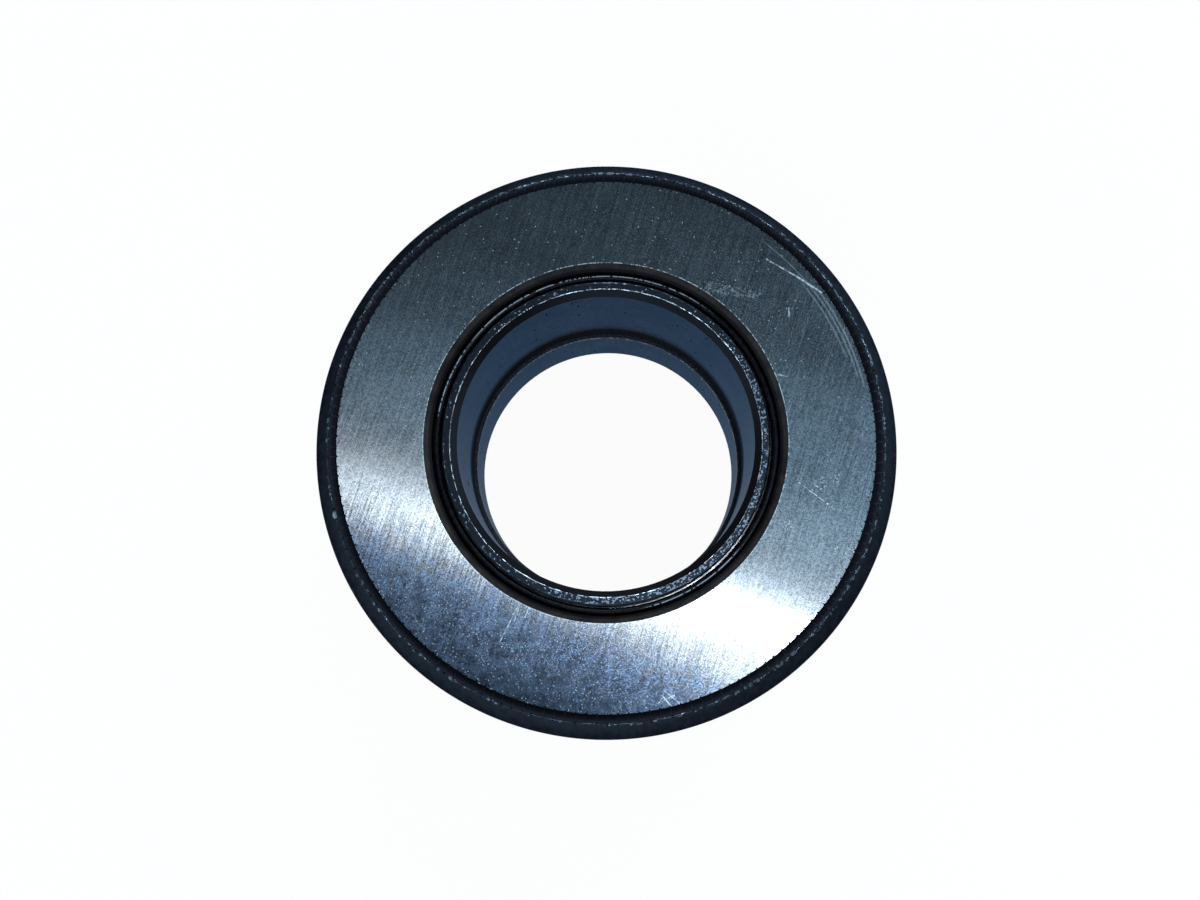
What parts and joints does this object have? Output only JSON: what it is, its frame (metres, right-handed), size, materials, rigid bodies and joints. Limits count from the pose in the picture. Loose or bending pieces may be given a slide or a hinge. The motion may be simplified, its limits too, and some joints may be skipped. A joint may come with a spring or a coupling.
{
  "type": "clutch release bearing",
  "caption": "Round clutch release bearing: ground thrust face in a black crimped shell, turning on caged balls round a stepped guide sleeve with a fork flange.",
  "frame": {"origin": "centre of the sleeve's rear end, on the bearing axis", "axes": "+Z along the bearing axis, towards the ground thrust face; the fork flats face +X and -X"},
  "size_m": [0.1006, 0.1006, 0.043],
  "materials": {
    "ground_steel": "ground",
    "black_shell": "satin",
    "sleeve_steel": "satin",
    "race_steel": "ground",
    "ball_steel": "polished",
    "cage_steel": "satin",
    "seal_rubber": "matte"
  },
  "bodies": {
    "hub": {"hub_sleeve": "sleeve_steel", "inner_ring": "race_steel"},
    "ring": {"thrust_ring": "ground_steel", "outer_shell": "black_shell", "front_seal": "seal_rubber", "rear_shield": "black_shell", "rear_seal": "seal_rubber"},
    "cage": {"ball_cage": "cage_steel"},
    "ball_01": {"ball_01": "ball_steel"},
    "ball_02": {"ball_02": "ball_steel"},
    "ball_03": {"ball_03": "ball_steel"},
    "ball_04": {"ball_04": "ball_steel"},
    "ball_05": {"ball_05": "ball_steel"},
    "ball_06": {"ball_06": "ball_steel"},
    "ball_07": {"ball_07": "ball_steel"},
    "ball_08": {"ball_08": "ball_steel"},
    "ball_09": {"ball_09": "ball_steel"},
    "ball_10": {"ball_10": "ball_steel"},
    "ball_11": {"ball_11": "ball_steel"},
    "ball_12": {"ball_12": "ball_steel"},
    "ball_13": {"ball_13": "ball_steel"},
    "ball_14": {"ball_14": "ball_steel"},
    "ball_15": {"ball_15": "ball_steel"},
    "ball_16": {"ball_16": "ball_steel"},
    "ball_17": {"ball_17": "ball_steel"},
    "ball_18": {"ball_18": "ball_steel"}
  },
  "joints": [
    {"name": "ring_spin", "type": "hinge", "parent": "hub", "child": "ring", "pos_m": [0, 0, 0.03251], "axis": [0, 0, 1], "continuous": true},
    {"name": "cage_orbit", "type": "hinge", "parent": "hub", "child": "cage", "pos_m": [0, 0, 0.03251], "axis": [0, 0, 1], "continuous": true},
    {"name": "ball_01_spin", "type": "hinge", "parent": "cage", "child": "ball_01", "pos_m": [0.03839, 0, 0.03251], "axis": [-0.6428, 0, 0.766], "continuous": true},
    {"name": "ball_02_spin", "type": "hinge", "parent": "cage", "child": "ball_02", "pos_m": [0.03607, 0.01313, 0.03251], "axis": [-0.604, -0.2198, 0.766], "continuous": true},
    {"name": "ball_03_spin", "type": "hinge", "parent": "cage", "child": "ball_03", "pos_m": [0.02941, 0.02468, 0.03251], "axis": [-0.4924, -0.4132, 0.766], "continuous": true},
    {"name": "ball_04_spin", "type": "hinge", "parent": "cage", "child": "ball_04", "pos_m": [0.01919, 0.03324, 0.03251], "axis": [-0.3214, -0.5567, 0.766], "continuous": true},
    {"name": "ball_05_spin", "type": "hinge", "parent": "cage", "child": "ball_05", "pos_m": [0.00667, 0.0378, 0.03251], "axis": [-0.1116, -0.633, 0.766], "continuous": true},
    {"name": "ball_06_spin", "type": "hinge", "parent": "cage", "child": "ball_06", "pos_m": [-0.00667, 0.0378, 0.03251], "axis": [0.1116, -0.633, 0.766], "continuous": true},
    {"name": "ball_07_spin", "type": "hinge", "parent": "cage", "child": "ball_07", "pos_m": [-0.01919, 0.03324, 0.03251], "axis": [0.3214, -0.5567, 0.766], "continuous": true},
    {"name": "ball_08_spin", "type": "hinge", "parent": "cage", "child": "ball_08", "pos_m": [-0.02941, 0.02468, 0.03251], "axis": [0.4924, -0.4132, 0.766], "continuous": true},
    {"name": "ball_09_spin", "type": "hinge", "parent": "cage", "child": "ball_09", "pos_m": [-0.03607, 0.01313, 0.03251], "axis": [0.604, -0.2198, 0.766], "continuous": true},
    {"name": "ball_10_spin", "type": "hinge", "parent": "cage", "child": "ball_10", "pos_m": [-0.03839, 0, 0.03251], "axis": [0.6428, 0, 0.766], "continuous": true},
    {"name": "ball_11_spin", "type": "hinge", "parent": "cage", "child": "ball_11", "pos_m": [-0.03607, -0.01313, 0.03251], "axis": [0.604, 0.2198, 0.766], "continuous": true},
    {"name": "ball_12_spin", "type": "hinge", "parent": "cage", "child": "ball_12", "pos_m": [-0.02941, -0.02468, 0.03251], "axis": [0.4924, 0.4132, 0.766], "continuous": true},
    {"name": "ball_13_spin", "type": "hinge", "parent": "cage", "child": "ball_13", "pos_m": [-0.01919, -0.03324, 0.03251], "axis": [0.3214, 0.5567, 0.766], "continuous": true},
    {"name": "ball_14_spin", "type": "hinge", "parent": "cage", "child": "ball_14", "pos_m": [-0.00667, -0.0378, 0.03251], "axis": [0.1116, 0.633, 0.766], "continuous": true},
    {"name": "ball_15_spin", "type": "hinge", "parent": "cage", "child": "ball_15", "pos_m": [0.00667, -0.0378, 0.03251], "axis": [-0.1116, 0.633, 0.766], "continuous": true},
    {"name": "ball_16_spin", "type": "hinge", "parent": "cage", "child": "ball_16", "pos_m": [0.01919, -0.03324, 0.03251], "axis": [-0.3214, 0.5567, 0.766], "continuous": true},
    {"name": "ball_17_spin", "type": "hinge", "parent": "cage", "child": "ball_17", "pos_m": [0.02941, -0.02468, 0.03251], "axis": [-0.4924, 0.4132, 0.766], "continuous": true},
    {"name": "ball_18_spin", "type": "hinge", "parent": "cage", "child": "ball_18", "pos_m": [0.03607, -0.01313, 0.03251], "axis": [-0.604, 0.2198, 0.766], "continuous": true}
  ],
  "couplings": [
    {"joint": "cage_orbit", "follows": "ring_spin", "ratio": 0.54752},
    {"joint": "ball_01_spin", "follows": "ring_spin", "ratio": 3.9938},
    {"joint": "ball_02_spin", "follows": "ring_spin", "ratio": 3.9938},
    {"joint": "ball_03_spin", "follows": "ring_spin", "ratio": 3.9938},
    {"joint": "ball_04_spin", "follows": "ring_spin", "ratio": 3.9938},
    {"joint": "ball_05_spin", "follows": "ring_spin", "ratio": 3.9938},
    {"joint": "ball_06_spin", "follows": "ring_spin", "ratio": 3.9938},
    {"joint": "ball_07_spin", "follows": "ring_spin", "ratio": 3.9938},
    {"joint": "ball_08_spin", "follows": "ring_spin", "ratio": 3.9938},
    {"joint": "ball_09_spin", "follows": "ring_spin", "ratio": 3.9938},
    {"joint": "ball_10_spin", "follows": "ring_spin", "ratio": 3.9938},
    {"joint": "ball_11_spin", "follows": "ring_spin", "ratio": 3.9938},
    {"joint": "ball_12_spin", "follows": "ring_spin", "ratio": 3.9938},
    {"joint": "ball_13_spin", "follows": "ring_spin", "ratio": 3.9938},
    {"joint": "ball_14_spin", "follows": "ring_spin", "ratio": 3.9938},
    {"joint": "ball_15_spin", "follows": "ring_spin", "ratio": 3.9938},
    {"joint": "ball_16_spin", "follows": "ring_spin", "ratio": 3.9938},
    {"joint": "ball_17_spin", "follows": "ring_spin", "ratio": 3.9938},
    {"joint": "ball_18_spin", "follows": "ring_spin", "ratio": 3.9938}
  ]
}
